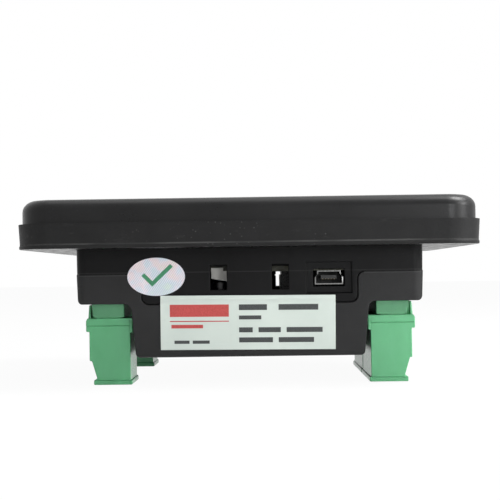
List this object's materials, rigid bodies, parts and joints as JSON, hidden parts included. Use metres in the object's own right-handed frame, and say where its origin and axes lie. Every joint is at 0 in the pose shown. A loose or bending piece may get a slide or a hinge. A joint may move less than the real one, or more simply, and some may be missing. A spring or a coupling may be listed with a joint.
{
  "type": "generator set controller",
  "caption": "Panel-mount generator set controller: gasketed front bezel with keys and display, stepped rear housing, pluggable screw terminals and a programming port.",
  "frame": {"origin": "below the middle of the housing, on the plane of the terminal plug feet it rests on", "axes": "+Z towards the front face, +X along the wide side, -Y towards the wall with the programming port"},
  "size_m": [0.1272, 0.1072, 0.0523],
  "materials": {
    "black_plastic": "fine moulded grain, black",
    "grey_black_plastic": "fine moulded grain, black",
    "seal_rubber": "soft sheen, a little dusty",
    "overlay_film": "matt printed film",
    "window_glass": "clear",
    "display_glass": "grey-green display",
    "backlight_frame": "white moulding",
    "circuit_board": "solder resist",
    "dark_moulding": "matt black",
    "light_guide": "clear moulding",
    "led_body": "cast resin",
    "relay_plastic": "sealed case",
    "capacitor_sleeve": "shrunk sleeve",
    "pale_moulding": "smooth moulding",
    "ferrite": "dull sintered",
    "port_metal": "bright plated sheet",
    "key_red": "fine grain",
    "key_grey": "fine grain",
    "key_green": "fine grain",
    "green_plastic": "smooth moulding",
    "tinned_contact": "tinned",
    "clamp_steel": "nickel plated",
    "screw_steel": "zinc plated"
  },
  "bodies": {
    "controller": {"front_case": "black_plastic", "sealing_gasket": "seal_rubber", "rear_cover": "grey_black_plastic", "front_overlay": "overlay_film", "display_window": "window_glass", "case_screws": "screw_steel", "lcd_glass": "display_glass", "lcd_frame": "backlight_frame", "display_board": "circuit_board", "display_board_screws": "screw_steel", "switch_bodies": "dark_moulding", "light_guides": "light_guide", "status_leds": "led_body", "main_board": "circuit_board", "board_link": "dark_moulding", "board_link_pins": "tinned_contact", "processor": "dark_moulding", "relays": "relay_plastic", "capacitors": "capacitor_sleeve", "choke": "ferrite", "board_socket": "pale_moulding", "port_shell": "port_metal", "port_insert": "dark_moulding", "header_left_near": "green_plastic", "header_left_far": "green_plastic", "header_right_near": "green_plastic", "header_right_far": "green_plastic", "pins_left_near": "tinned_contact", "pins_left_far": "tinned_contact", "pins_right_near": "tinned_contact", "pins_right_far": "tinned_contact"},
    "key_stop_body": {"key_stop": "key_red", "plunger_stop": "dark_moulding"},
    "key_manual_body": {"key_manual": "key_grey", "plunger_manual": "dark_moulding"},
    "key_auto_body": {"key_auto": "key_grey", "plunger_auto": "dark_moulding"},
    "key_test_body": {"key_test": "key_grey", "plunger_test": "dark_moulding"},
    "key_start_body": {"key_start": "key_green", "plunger_start": "dark_moulding"},
    "plug_left_near_body": {"plug_left_near": "green_plastic", "contacts_left_near": "tinned_contact", "clamps_left_near": "clamp_steel", "screws_left_near": "screw_steel"},
    "plug_left_far_body": {"plug_left_far": "green_plastic", "contacts_left_far": "tinned_contact", "clamps_left_far": "clamp_steel", "screws_left_far": "screw_steel"},
    "plug_right_near_body": {"plug_right_near": "green_plastic", "contacts_right_near": "tinned_contact", "clamps_right_near": "clamp_steel", "screws_right_near": "screw_steel"},
    "plug_right_far_body": {"plug_right_far": "green_plastic", "contacts_right_far": "tinned_contact", "clamps_right_far": "clamp_steel", "screws_right_far": "screw_steel"}
  },
  "joints": [
    {"name": "press_stop", "type": "slide", "parent": "controller", "child": "key_stop_body", "axis": [0, 0, -1], "range_m": [0, 0.0008], "stiffness_N_per_m": 2500, "springref_m": -0.0004},
    {"name": "press_manual", "type": "slide", "parent": "controller", "child": "key_manual_body", "axis": [0, 0, -1], "range_m": [0, 0.0008], "stiffness_N_per_m": 2500, "springref_m": -0.0004},
    {"name": "press_auto", "type": "slide", "parent": "controller", "child": "key_auto_body", "axis": [0, 0, -1], "range_m": [0, 0.0008], "stiffness_N_per_m": 2500, "springref_m": -0.0004},
    {"name": "press_test", "type": "slide", "parent": "controller", "child": "key_test_body", "axis": [0, 0, -1], "range_m": [0, 0.0008], "stiffness_N_per_m": 2500, "springref_m": -0.0004},
    {"name": "press_start", "type": "slide", "parent": "controller", "child": "key_start_body", "axis": [0, 0, -1], "range_m": [0, 0.0008], "stiffness_N_per_m": 2500, "springref_m": -0.0004},
    {"name": "unplug_left_near", "type": "slide", "parent": "controller", "child": "plug_left_near_body", "axis": [0, 0, -1], "range_m": [0, 0.009]},
    {"name": "unplug_left_far", "type": "slide", "parent": "controller", "child": "plug_left_far_body", "axis": [0, 0, -1], "range_m": [0, 0.009]},
    {"name": "unplug_right_near", "type": "slide", "parent": "controller", "child": "plug_right_near_body", "axis": [0, 0, -1], "range_m": [0, 0.009]},
    {"name": "unplug_right_far", "type": "slide", "parent": "controller", "child": "plug_right_far_body", "axis": [0, 0, -1], "range_m": [0, 0.009]}
  ]
}
